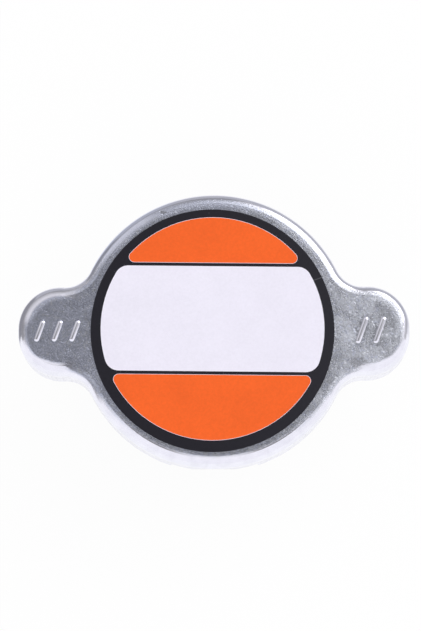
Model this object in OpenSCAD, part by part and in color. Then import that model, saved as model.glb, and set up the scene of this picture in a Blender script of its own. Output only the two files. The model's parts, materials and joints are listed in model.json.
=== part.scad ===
// Radiator cap with two ears, a bayonet skirt, a sprung pressure valve and a vacuum valve.
// The cap stands on its valve seal: z = 0 is the lower face of that seal and +Z points to the label.
// The ears lie along X and the bayonet lugs along Y. All sizes are in millimetres.

/* [Shell] */
// Outside diameter of the skirt
shell_d = 47; // [46:0.5:52]
// Length over the two ears
ear_span = 66.8; // [62:0.2:72]
// Radius of an ear's two round corners
ear_tip_r = 7.25; // [6.5:0.05:9]
// Length of the straight part between an ear's two corners
ear_end_w = 0.9; // [0.4:0.1:2]
// Radius of the hollow blend between an ear and the skirt
ear_blend_r = 4.85; // [3:0.05:8]
// Thickness of the pressed sheet
sheet_t = 0.9; // [0.6:0.1:1.2]
// Height of the skirt, from the flat top to its free edge
skirt_h = 10.5; // [9.5:0.1:13]
// Outside radius of the rolled edge between the flat top and the skirt
edge_r = 2; // [1.4:0.1:3]

/* [Bayonet lugs] */
// Length of a lug's flat beyond its bend
lug_flat = 0.8; // [0.4:0.1:1.6]
// Angle that each lug covers
lug_deg = 34; // [24:1:60]
// Outside radius of the bend that turns a lug inwards
lug_bend_r = 2.8; // [1.4:0.1:3]
// Height of a lug's lower face above the skirt's free edge
lug_rise = 1.5; // [0:0.1:2]
// Angle of the relief notch at each side of a lug
lug_notch_deg = 1.6; // [0.8:0.2:4]
// Depth, at a lug's lower face, of the leaning flat that bending leaves on the skirt
lug_press = 0.5; // [0.2:0.05:0.6]
// Height from the top down to where that flat runs out
lug_press_drop = 2.5; // [2:0.1:4]

/* [Stamped ribs on the ears] */
// Number of ribs on the left ear
left_ribs = 3; // [0:1:3]
// Number of ribs on the right ear
right_ribs = 2; // [0:1:3]
// Length of a left rib
left_rib_len = 4; // [3:0.1:6]
// Length of a right rib
right_rib_len = 5; // [3:0.1:6]
// Distance between ribs on one ear
rib_pitch = 3; // [2:0.1:3.4]
// Lean of the ribs from square with the ears
rib_lean = 20; // [0:1:35]
// Distance from an ear's end to the middle of its ribs
rib_inset = 6.7; // [5.6:0.1:7.6]
// Width of a rib where it leaves the flat
rib_w = 1; // [0.8:0.1:1.4]
// Height of a rib above the flat
rib_h = 0.3; // [0.2:0.05:0.4]

/* [Dimple and rivet] */
// Diameter of the dimple that sinks the rivet's head below the label
dimple_d = 13; // [11:0.5:16]
// Depth of the dimple
dimple_depth = 1.2; // [1:0.1:1.6]
// Diameter of the rivet's shank
rivet_d = 6; // [4:0.5:7]
// Diameter of the rivet's flat head
rivet_head_d = 9.6; // [8.4:0.2:10.6]
// Diameter of the rivet's upset tail
rivet_tail_d = 9.2; // [8.4:0.2:11]
// Thickness of the rivet's upset tail
rivet_tail_t = 1.1; // [0.8:0.1:1.6]

/* [Label] */
// Width of the flat left between the label and the rolled edge
label_margin = 0.75; // [0.3:0.05:3]
// Sideways offset of the label from the cap's centre
label_shift = -0.25; // [-0.3:0.05:0.3]
// Turn of the label from square with the ears
label_turn = -0.7; // [-5:0.1:5]
// Thickness of the label
label_t = 0.15; // [0.1:0.05:0.3]
// Thickness of the printed fields
print_t = 0.04; // [0.02:0.01:0.1]
// Width of the dark border round the printed fields
border_w = 1.7; // [1:0.1:3]
// Offset of the print from the label's centre
print_shift = 0.3; // [0:0.05:0.5]
// Height of the white field above the print's centre
white_up = 10.7; // [7:0.1:12]
// Depth of the white field below the print's centre
white_down = 7.3; // [5:0.1:12]
// Width of the dark bars between the fields
bar_w = 0.6; // [0.4:0.1:1.5]
// Corner radius of the white field
white_corner_r = 2.4; // [0.5:0.1:3]
// Corner radius of the orange fields
orange_corner_r = 0.9; // [0.4:0.1:2]

/* [Top seal] */
// Depth of the neck that the cap fits, from its rim to its inner seat
seat_depth = 19.1; // [17:0.1:24]
// Radial room between the top gasket and the skirt
gasket_room = 1.4; // [0.8:0.1:3]
// Thickness of the top gasket
gasket_t = 1.8; // [1.2:0.1:2.4]
// Thickness of the spring disc
disc_t = 0.4; // [0.3:0.05:0.6]
// Drop of the spring disc from its hub to its rim
disc_drop = 0.9; // [0.5:0.1:1.2]
// Reach of the spring disc's flat hub past the start of the bell's shoulder
disc_hub_reach = 1; // [0.7:0.1:2]
// Width of the spring disc's flat rim
disc_rim_w = 2.4; // [1.5:0.1:3]

/* [Valve bell] */
// Outside diameter of the bell
bell_d = 26; // [24:0.2:27]
// Thickness of the bell's sheet
bell_t = 0.7; // [0.5:0.1:0.9]
// Outside radius of the bell's drawn shoulder
bell_shoulder_r = 2.5; // [2:0.1:3.2]
// Outside radius of the bend between the bell's wall and its lip
bell_bend_r = 1.2; // [1:0.1:1.6]
// Width of the lip that stops the valve
lip_w = 1.9; // [1.5:0.1:2.4]
// Number of windows in the bell's wall
windows = 4; // [2:1:6]
// Angle that each window covers
window_deg = 48; // [30:1:50]
// Wall left above and below a window
window_margin = 2.2; // [1.5:0.1:3]

/* [Pressure valve] */
// Lift of the pressure valve when it is fully open
valve_lift = 2.5; // [1.5:0.1:3.5]
// Wire diameter of the pressure spring
spring_wire = 1.7; // [1.2:0.1:1.8]
// Number of turns of the pressure spring
spring_turns = 4.5; // [3:0.5:5]
// Thickness of the spring cup's sheet
cup_t = 0.7; // [0.5:0.1:1]
// Diameter of the valve plate
plate_d = 31.6; // [28:0.2:33]
// Thickness of the valve plate
plate_t = 0.8; // [0.6:0.1:1.2]
// Diameter of the hole through the valve plate and the cup's seat
plate_hole_d = 8.4; // [8:0.2:9]
// Thickness of the seal below the valve plate
seal_t = 2.6; // [2.3:0.1:3.4]
// Thickness of the rubber round the plate's rim
seal_wall = 1.4; // [0.8:0.1:2]
// Width of the seal's lip over the plate
seal_lip_w = 1.6; // [0.8:0.1:2]
// Thickness of the seal's lip over the plate
seal_lip_t = 0.75; // [0.5:0.05:0.9]
// Diameter of the pocket for the vacuum valve in the seal's lower face
pocket_d = 18; // [17:0.2:20]

/* [Vacuum valve] */
// Drop of the vacuum valve when it is fully open
vacuum_drop = 1.5; // [1:0.1:2]
// Diameter of the vacuum valve's disc
vacuum_disc_d = 14.8; // [12:0.2:16]
// Thickness of the vacuum valve's disc
vacuum_disc_t = 0.8; // [0.5:0.1:1]
// Distance of the vacuum valve's disc above the seal's lower face
vacuum_recess = 0.4; // [0.2:0.1:0.6]
// Diameter of the coined dish in the vacuum valve's disc
vacuum_dish_d = 9; // [7:0.2:11]
// Depth of the coined dish
vacuum_dish_depth = 0.3; // [0.1:0.05:0.4]
// Diameter of the vacuum valve's stem
vacuum_stem_d = 3; // [2.4:0.1:3.2]
// Fitted length of the vacuum spring
vacuum_spring_len = 4.6; // [4:0.1:5.5]
// Wire diameter of the vacuum spring
vacuum_wire = 0.5; // [0.4:0.1:0.7]
// Number of turns of the vacuum spring
vacuum_turns = 4; // [3:0.5:5]
// Diameter of the washer on the stem
washer_d = 10.4; // [9.8:0.2:11]
// Thickness of the washer on the stem
washer_t = 0.5; // [0.4:0.1:0.8]
// Number of vent holes round the stem
vents = 4; // [3:1:4]
// Diameter of a vent hole
vent_d = 1.7; // [1.2:0.1:1.8]

/* [Clearances] */
// Axial play between flat faces that turn or slide on each other
face_gap = 0.05; // [0.02:0.01:0.1]
// Radial play of the rivet, the stem and the parts threaded on them
shank_gap = 0.08; // [0.05:0.01:0.1]
// Radial room between the bell and what slides in it
slide_gap = 0.4; // [0.3:0.05:0.6]
// Room left between the valve and the bell when the valve is fully open
lift_room = 1; // [0.5:0.1:1.5]

/* [Hidden] */
$fn = 96;
// Overlap of cutting tools past the faces they cut
cut = 1;

// Plan of the shell: the blend's centre lies one blend radius from the skirt and from the ear's corner
shell_r = shell_d / 2;
shell_inner_r = shell_r - sheet_t;
ear_x = ear_span / 2 - ear_tip_r;
ear_y = ear_end_w / 2;
ear_far = norm([ear_x, ear_y]);
blend_from_skirt = shell_r + ear_blend_r;
blend_from_ear = ear_tip_r + ear_blend_r;
blend_along = (pow(blend_from_skirt, 2) - pow(blend_from_ear, 2) + pow(ear_far, 2)) / (2 * ear_far);
blend_aside = sqrt(pow(blend_from_skirt, 2) - pow(blend_along, 2));
blend_x = (blend_along * ear_x - blend_aside * ear_y) / ear_far;
blend_y = (blend_along * ear_y + blend_aside * ear_x) / ear_far;
// The blend stops this angle short of each tangent point, where it stands only microns off the next arc
blend_trim_deg = 4;
// Drop of a rolled edge's arc centre below the flat, in arc radii
arc_drop = 0.988;

// Heights, from the seal's lower face upwards
plate_z = seal_t;
plate_top_z = plate_z + plate_t;
gasket_z = seat_depth;
rim_z = gasket_z + gasket_t + face_gap;
hub_z = rim_z + disc_drop;
dimple_under_z = hub_z + disc_t + face_gap;
shell_top_z = dimple_under_z + sheet_t + dimple_depth;
skirt_z = shell_top_z - skirt_h;
lug_z = skirt_z + lug_rise;
bell_top_z = hub_z - face_gap;
bell_ceiling_z = bell_top_z - bell_t;
bell_z = plate_top_z + valve_lift + lift_room;
bell_h = bell_top_z - bell_z;
flange_z = bell_z + bell_t + face_gap;
flange_top_z = flange_z + cup_t;
cup_floor_z = plate_top_z + cup_t;
vacuum_disc_z = vacuum_recess;
vacuum_seat_z = vacuum_disc_z + vacuum_disc_t + face_gap;
washer_z = cup_floor_z + vacuum_spring_len;

// Radii that follow from the bell and the rivet
bell_r = bell_d / 2;
bell_inner_r = bell_r - bell_t;
lip_bore_r = bell_inner_r - lip_w;
flange_r = bell_inner_r - slide_gap;
cup_r = lip_bore_r - slide_gap;
gasket_r = shell_inner_r - gasket_room;
disc_r = gasket_r + face_gap * 4;
rivet_r = rivet_d / 2;
rivet_head_t = dimple_depth / 2;
rivet_hole_r = rivet_r + shank_gap;
stem_r = vacuum_stem_d / 2;
plate_r = plate_d / 2;
seal_r = plate_r + seal_wall;
seal_bore_r = plate_hole_d / 2;
stem_head_h = 0.6;
stem_head_r = stem_r + 0.6;
vent_ring_r = (stem_r + shank_gap + seal_bore_r) / 2;
shoulder_r = bell_r - bell_shoulder_r;
spring_r = min((cup_r - cup_t + flange_r) / 2, shoulder_r);
vacuum_spring_r = seal_bore_r;
rib_r = (pow(rib_h, 2) + pow(rib_w / 2, 2)) / (2 * rib_h);
label_r = shell_r - edge_r - label_margin;
field_r = label_r - border_w;

// Outlines

// A turned profile, from the axis to a radius, with its upper and lower outer corners rounded.
// The upper corner's arc meets the flat at a slight angle, as on drawn sheet.
module turned_profile(radius, height, top_r = 0, foot_r = 0) {
    arc_z = height - top_r * arc_drop;
    intersection() {
        union() {
            translate([0, foot_r]) square([radius, arc_z - foot_r]);
            square([radius - foot_r, arc_z]);
            translate([0, foot_r]) square([radius - top_r, height - foot_r]);
            if (top_r > 0) translate([radius - top_r, arc_z]) circle(top_r);
            if (foot_r > 0) translate([radius - foot_r, foot_r]) circle(foot_r);
        }
        square([radius, height]);
    }
}

// A ring's rectangular section
module ring_section(inner_r, outer_r, low, high) {
    translate([inner_r, low]) square([outer_r - inner_r, high - low]);
}

// A printed field: the label's round field between two heights, with rounded corners
module field_outline(low, high, corner_r) {
    core_r = field_r - corner_r;
    core_h = high - low - 2 * corner_r;
    translate([label_shift, 0]) rotate(label_turn) translate([0, print_shift]) offset(r = corner_r)
        intersection() {
            circle(core_r);
            translate([-field_r, low + corner_r]) square([2 * field_r, core_h]);
        }
}

// Forms

// A round boss with a rolled upper edge
module rolled_boss(radius, height, roll_r) {
    rotate_extrude() turned_profile(radius, height, roll_r);
}

// An ear's end with a rolled upper edge: two round corners and the straight part between them
module rolled_ear(corner_r, height, roll_r) {
    for (edge = [0, 1]) mirror([0, edge, 0]) translate([0, ear_y, 0])
        rotate_extrude(angle = 180) turned_profile(corner_r, height, roll_r);
    translate([0, ear_y, 0]) rotate([90, 0, 0]) linear_extrude(ear_end_w)
        for (side = [0, 1]) mirror([side, 0]) turned_profile(corner_r, height, roll_r);
}

// The hollow blend between an ear and the skirt: the same rolled edge turned about the blend's centre
module rolled_cove(cove_r, height, roll_r) {
    to_skirt = atan2(-blend_y, -blend_x);
    to_ear = atan2(ear_y - blend_y, ear_x - blend_x);
    turn = to_ear - to_skirt - 2 * blend_trim_deg;
    arc_z = height - roll_r * arc_drop;
    translate([blend_x, blend_y, 0]) rotate_extrude(angle = turn, start = to_skirt + blend_trim_deg)
        intersection() {
            union() {
                ring_section(cove_r, blend_from_ear, 0, arc_z);
                ring_section(cove_r + roll_r, blend_from_ear, 0, height);
                translate([cove_r + roll_r, arc_z]) circle(roll_r);
            }
            square([blend_from_ear, height]);
        }
}

// The whole plan of the cap as one solid, drawn in by the given inset
module cap_form(inset, height) {
    roll_r = edge_r - inset;
    rolled_boss(shell_r - inset, height, roll_r);
    for (side = [0, 1]) mirror([side, 0, 0]) {
        translate([ear_x, 0, 0]) rolled_ear(ear_tip_r - inset, height, roll_r);
        for (edge = [0, 1]) mirror([0, edge, 0]) rolled_cove(ear_blend_r + inset, height, roll_r);
    }
}

// The sector of the skirt at one lug, widened by the given angle at each side
module lug_sector(extra_deg) {
    turn = lug_deg + 2 * extra_deg;
    for (side = [90, 270]) rotate_extrude(angle = turn, start = side - turn / 2) children();
}

// A skirt strip that bends inwards into a lug
module lug_section() {
    strip_top = lug_z + 2 * lug_bend_r;
    inner_r = shell_inner_r;
    bend_in_r = lug_bend_r - sheet_t;
    lug_bore_r = inner_r - bend_in_r - lug_flat;
    difference() {
        union() {
            ring_section(lug_bore_r, shell_r - lug_bend_r, lug_z, lug_z + lug_bend_r);
            ring_section(shell_r - 2 * sheet_t, shell_r, lug_z + lug_bend_r, strip_top);
            translate([shell_r - lug_bend_r, lug_z + lug_bend_r]) circle(lug_bend_r);
        }
        ring_section(0, inner_r - bend_in_r, lug_z + sheet_t, strip_top + cut);
        ring_section(0, inner_r, lug_z + sheet_t + bend_in_r, strip_top + cut);
        translate([inner_r - bend_in_r, lug_z + sheet_t + bend_in_r]) circle(bend_in_r);
    }
}

// The room outside the leaning flat that each lug's bend leaves on the skirt
module lug_flats() {
    run_out_z = shell_top_z - lug_press_drop;
    lean = lug_press / (run_out_z - lug_z);
    low_z = lug_z - cut;
    for (side = [0, 1]) mirror([0, side, 0]) translate([-shell_r, 0, 0]) rotate([90, 0, 90])
        linear_extrude(shell_d) polygon([
            [shell_r + cut, run_out_z + cut / lean],
            [shell_r - (run_out_z - low_z) * lean, low_z],
            [shell_r + cut, low_z]
        ]);
}

// A stamped rib that leans from Y, half sunk in the flat top
module rib(length) {
    core = length - 2 * rib_r;
    translate([0, 0, shell_top_z + rib_h - rib_r]) rotate([90, 0, -rib_lean]) rotate_extrude() {
        translate([0, -core / 2]) square([rib_r, core]);
        intersection() {
            union() for (end = [-1, 1]) translate([0, end * core / 2]) circle(rib_r);
            translate([0, -length]) square([2 * rib_r, 2 * length]);
        }
    }
}

module rib_row(count, length, middle_x) {
    if (count > 0) for (i = [0 : count - 1])
        translate([middle_x + (i - (count - 1) / 2) * rib_pitch, 0, 0]) rib(length);
}

// A coil spring of round wire with closed end turns
module coil(mean_r, wire_d, turns, length, steps, sides) {
    end_pitch = wire_d * 1.08;
    open_pitch = (length - wire_d - 2 * end_pitch) / (turns - 2);
    rings = round(turns * steps);
    function rise(t) = t < 1 ? t * end_pitch
        : t < turns - 1 ? end_pitch + (t - 1) * open_pitch
        : length - wire_d - (turns - t) * end_pitch;
    points = [for (i = [0 : rings], j = [0 : sides - 1])
        let (t = i * turns / rings, a = 360 * t, b = 360 * j / sides, r = mean_r + wire_d / 2 * cos(b))
        [r * cos(a), r * sin(a), wire_d / 2 + rise(t) + wire_d / 2 * sin(b)]];
    walls = [for (i = [0 : rings - 1], j = [0 : sides - 1])
        let (k = (j + 1) % sides, near = i * sides, far = near + sides)
        [near + j, near + k, far + k, far + j]];
    first_end = [for (j = [sides - 1 : -1 : 0]) j];
    last_end = [for (j = [0 : sides - 1]) rings * sides + j];
    polyhedron(points, concat(walls, [first_end, last_end]), convexity = 10);
}

// Sub-parts

module cap_shell() {
    color("silver") difference() {
        union() {
            difference() {
                translate([0, 0, skirt_z]) cap_form(0, skirt_h);
                translate([0, 0, skirt_z - cut]) cap_form(sheet_t, skirt_h - sheet_t + cut);
                lug_sector(lug_notch_deg)
                    ring_section(shell_r - 2 * sheet_t, shell_r + cut, skirt_z - cut, lug_z + lug_bend_r);
            }
            lug_sector(0) lug_section();
            translate([0, 0, dimple_under_z])
                cylinder(r = dimple_d / 2 + sheet_t, h = shell_top_z - dimple_under_z - sheet_t / 2);
            rib_row(left_ribs, left_rib_len, rib_inset - ear_span / 2);
            rib_row(right_ribs, right_rib_len, ear_span / 2 - rib_inset);
        }
        lug_flats();
        translate([0, 0, shell_top_z - dimple_depth]) cylinder(d = dimple_d, h = dimple_depth + cut);
        translate([0, 0, dimple_under_z - cut]) cylinder(r = rivet_hole_r, h = sheet_t + 2 * cut);
    }
}

module face_label() {
    color([0.13, 0.13, 0.15]) translate([label_shift, 0, shell_top_z]) cylinder(r = label_r, h = label_t);
}

module label_orange_fields() {
    color([0.98, 0.40, 0.13]) translate([0, 0, shell_top_z + label_t]) linear_extrude(print_t) {
        field_outline(white_up + bar_w, field_r, orange_corner_r);
        field_outline(-field_r, -white_down - bar_w, orange_corner_r);
    }
}

module label_white_field() {
    color([0.93, 0.92, 0.96]) translate([0, 0, shell_top_z + label_t]) linear_extrude(print_t)
        field_outline(-white_down, white_up, white_corner_r);
}

module centre_rivet() {
    tail_top_z = bell_ceiling_z - face_gap;
    head_z = shell_top_z - dimple_depth;
    color("gainsboro") {
        translate([0, 0, tail_top_z]) cylinder(r = rivet_r, h = head_z - tail_top_z);
        translate([0, 0, head_z]) rolled_boss(rivet_head_d / 2, rivet_head_t, rivet_head_t / 2);
        translate([0, 0, tail_top_z]) mirror([0, 0, 1])
            rolled_boss(rivet_tail_d / 2, rivet_tail_t, rivet_tail_t / 2);
    }
}

module spring_disc() {
    hub_r = shoulder_r + disc_hub_reach;
    cone_r = disc_r - disc_rim_w;
    color("lightsteelblue") rotate_extrude() polygon([
        [rivet_hole_r, hub_z], [hub_r, hub_z], [cone_r, rim_z], [disc_r, rim_z],
        [disc_r, rim_z + disc_t], [cone_r, rim_z + disc_t],
        [hub_r, hub_z + disc_t], [rivet_hole_r, hub_z + disc_t]]);
}

module top_gasket() {
    edge = gasket_t / 6;
    color([0.12, 0.12, 0.12]) translate([0, 0, gasket_z]) difference() {
        rotate_extrude() turned_profile(gasket_r, gasket_t, edge, edge);
        translate([0, 0, -cut]) cylinder(r = bell_r + face_gap, h = gasket_t + 2 * cut);
    }
}

module valve_bell() {
    cavity_h = bell_h - 2 * bell_t;
    window_z = bell_z + bell_t + window_margin;
    window_h = gasket_z - window_margin - window_z;
    color("darkkhaki") difference() {
        translate([0, 0, bell_z]) rotate_extrude() difference() {
            turned_profile(bell_r, bell_h, bell_shoulder_r, bell_bend_r);
            translate([0, bell_t])
                turned_profile(bell_inner_r, cavity_h, bell_shoulder_r - bell_t, bell_bend_r - bell_t);
            translate([0, -cut]) square([lip_bore_r, bell_t + 2 * cut]);
            square([rivet_hole_r, bell_h + cut]);
        }
        for (i = [0 : windows - 1])
            rotate_extrude(angle = window_deg, start = (i + 0.5) * 360 / windows - window_deg / 2)
                ring_section(bell_inner_r - cut, bell_r + cut, window_z, window_z + window_h);
    }
}

module pressure_spring() {
    length = bell_ceiling_z - flange_top_z - 2 * face_gap;
    color("slategray") translate([0, 0, flange_top_z + face_gap])
        coil(spring_r, spring_wire, spring_turns, length, 24, 8);
}

module spring_cup() {
    cup_h = flange_top_z - plate_top_z;
    bend_r = 2 * cup_t;
    color("silver") translate([0, 0, plate_top_z]) difference() {
        rotate_extrude() difference() {
            union() {
                turned_profile(cup_r, cup_h, 0, bend_r);
                ring_section(cup_r - cup_t, flange_r, cup_h - cup_t, cup_h);
            }
            translate([0, cup_t]) turned_profile(cup_r - cup_t, cup_h, 0, bend_r - cup_t);
            translate([0, -cut]) square([stem_r + shank_gap, cup_t + 2 * cut]);
        }
        for (i = [0 : vents - 1]) rotate([0, 0, i * 360 / vents])
            translate([vent_ring_r, 0, -cut]) cylinder(d = vent_d, h = cup_t + 2 * cut);
    }
}

module valve_plate() {
    color("silver") translate([0, 0, plate_z]) difference() {
        rotate_extrude() turned_profile(plate_r, plate_t, plate_t / 4, plate_t / 4);
        translate([0, 0, -cut]) cylinder(r = seal_bore_r, h = plate_t + 2 * cut);
    }
}

module valve_seal() {
    lip_top = plate_top_z + face_gap + seal_lip_t;
    color([0.12, 0.12, 0.12]) rotate_extrude() difference() {
        turned_profile(seal_r, lip_top, seal_lip_t / 2, seal_lip_t / 2);
        ring_section(0, plate_r + face_gap, plate_z, plate_top_z + face_gap);
        ring_section(0, plate_r - seal_lip_w, plate_z, lip_top + cut);
        ring_section(0, pocket_d / 2, -cut, vacuum_seat_z);
        ring_section(0, seal_bore_r, 0, plate_z + cut);
    }
}

module vacuum_valve() {
    top_z = washer_z + washer_t + face_gap;
    color("goldenrod") {
        translate([0, 0, vacuum_disc_z]) rotate_extrude() difference() {
            turned_profile(vacuum_disc_d / 2, vacuum_disc_t, 0, vacuum_disc_t / 2);
            ring_section(stem_r, vacuum_dish_d / 2, -cut, vacuum_dish_depth);
        }
        translate([0, 0, vacuum_disc_z]) cylinder(r = stem_r, h = top_z - vacuum_disc_z);
        translate([0, 0, top_z]) rolled_boss(stem_head_r, stem_head_h, stem_head_h / 2);
    }
}

module vacuum_spring() {
    color("slategray") translate([0, 0, cup_floor_z + face_gap])
        coil(vacuum_spring_r, vacuum_wire, vacuum_turns, vacuum_spring_len - 2 * face_gap, 18, 6);
}

module vacuum_washer() {
    color("gainsboro") translate([0, 0, washer_z]) rotate_extrude()
        ring_section(stem_r + shank_gap, washer_d / 2, 0, washer_t);
}

cap_shell();
face_label();
label_orange_fields();
label_white_field();
centre_rivet();
spring_disc();
top_gasket();
valve_bell();
pressure_spring();
spring_cup();
valve_plate();
valve_seal();
vacuum_valve();
vacuum_spring();
vacuum_washer();
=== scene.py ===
"""Looks of an eared radiator cap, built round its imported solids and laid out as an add-on."""

import json
import math

import bpy
from mathutils import Matrix, Vector

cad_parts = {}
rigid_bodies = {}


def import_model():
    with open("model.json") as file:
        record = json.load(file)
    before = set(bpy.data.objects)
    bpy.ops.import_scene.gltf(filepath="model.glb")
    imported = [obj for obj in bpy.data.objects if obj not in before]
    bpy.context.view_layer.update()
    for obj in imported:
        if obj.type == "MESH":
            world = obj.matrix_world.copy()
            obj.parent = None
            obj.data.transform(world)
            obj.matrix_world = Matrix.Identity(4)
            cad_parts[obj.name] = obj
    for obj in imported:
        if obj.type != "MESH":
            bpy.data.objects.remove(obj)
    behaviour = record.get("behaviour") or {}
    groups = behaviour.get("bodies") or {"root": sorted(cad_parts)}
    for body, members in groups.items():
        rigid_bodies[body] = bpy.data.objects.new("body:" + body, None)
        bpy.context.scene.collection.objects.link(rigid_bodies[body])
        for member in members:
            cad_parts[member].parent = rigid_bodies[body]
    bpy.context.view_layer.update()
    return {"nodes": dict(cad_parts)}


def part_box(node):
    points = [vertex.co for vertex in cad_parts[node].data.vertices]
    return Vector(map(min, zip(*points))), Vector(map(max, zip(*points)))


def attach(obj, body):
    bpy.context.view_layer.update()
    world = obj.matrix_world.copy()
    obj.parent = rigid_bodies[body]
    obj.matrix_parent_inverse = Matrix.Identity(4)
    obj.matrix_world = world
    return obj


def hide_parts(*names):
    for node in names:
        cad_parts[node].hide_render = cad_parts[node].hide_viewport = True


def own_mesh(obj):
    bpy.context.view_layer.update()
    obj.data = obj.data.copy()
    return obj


bl_info = {
    "name": "Radiator Cap",
    "version": (1, 0, 0),
    "blender": (4, 5, 0),
    "location": "View3D > Sidebar > Cap",
    "description": "Finishes, springs, print and studio for an eared radiator cap",
    "category": "Object",
}

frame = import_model()
NODES = frame["nodes"]
MM = 0.001

LABEL_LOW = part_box("face_label")[0]
COIL_LOW, COIL_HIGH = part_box("pressure_spring")
SMALL_COIL_LOW, SMALL_COIL_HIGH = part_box("vacuum_spring")

# Modelling: the gap at which points merge, the smoothing angles, and the springs' sections and turns
MERGE = 0.001 * MM
SHELL_SMOOTH = math.radians(35.0)
WIRE_SMOOTH = math.radians(40.0)
WIRE_SIDES = 20
TURN_STEPS = 72
SMALL_TURN_STEPS = 48
CLOSED_PITCH = 1.08
WIRE_MERGE = 0.02
WIRE_END_INSET = 0.08

# Places in plan, in millimetres: ribs, the middles of an ear's round end and of a cove, and single marks
RIGHT_RIBS = (25.2, 28.2)
RIB_LEAN = math.radians(20.0)
RIB_REACH = 2.5
EAR_CORNER = (26.15, 0.45)
COVE_MIDDLE = (25.43, 12.53)
DING = (-8.7, 20.3)
DING_SQUEEZE = 6.0 ** 0.5
FILM_SCRATCH = (17.8, 8.8)

# Heights on the shell, in millimetres, as pairs between which a mask rises or falls
FLAT_Z = LABEL_LOW.z / MM
SKIN_HEIGHTS = (FLAT_Z - 0.27, FLAT_Z - 0.03)
RAGGED_HEIGHTS = (FLAT_Z - 0.01, FLAT_Z - 0.15)
RIB_FOOT_HEIGHTS = (FLAT_Z + 0.14, FLAT_Z + 0.02)
TOP_HEIGHTS = (FLAT_Z - 2.4, FLAT_Z - 1.0)
WALL_HEIGHTS = (FLAT_Z - 1.8, FLAT_Z - 3.0)

# Shifts and ranges of the zinc's colour, and the colour of dust on the film, which also paints a faint sheen
# on its right side
COOL_TINT = (0.962, 1.004, 1.112)
OLIVE_TINT = (0.995, 1.022, 1.040)
BRIGHT_TINT = (1.000, 0.995, 1.030)
# The dull range darkens the flat's zinc as painted shade, and the bright range is the sheet's bright zinc
DULL_RANGE = (0.43, 0.84)
BRIGHT_RANGE = (0.90, 1.04)
FILM_DUST_AND_SHEEN = (0.20, 0.20, 0.22)

# The studio, in metres and linear light. A softbox has a place, a size, a radiance, and may show in metal
FLOOR_SIZE = 6.0
FLOOR_DROP = 0.2 * MM
FLOOR_PAINT = (0.95, 0.95, 0.95)
FLOOR_GREY = (0.45, 0.455, 0.49)
FLOOR_DARK = (0.25, 0.25, 0.27)
DOME_TINT = (0.985, 0.975, 1.0)
WHITE = (1.0, 1.0, 1.0)
SOFTBOXES = {
    "corner_softbox": ((0.46, 0.45, 0.40), (0.75, 0.70), 1.5, True),
    "front_softbox": ((-0.10, -0.60, 0.42), (0.90, 0.50), 0.35, False),
}
LAMP_TARGET = Vector((0.0, 0.0, 0.02))

# The picture, in pixels: its size and where the middle of the label's underside stands in it
PICTURE_WIDE, PICTURE_TALL = 421, 631
PICTURE_MIDDLE = (213.98, 330.45)


# Shader expressions


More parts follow.
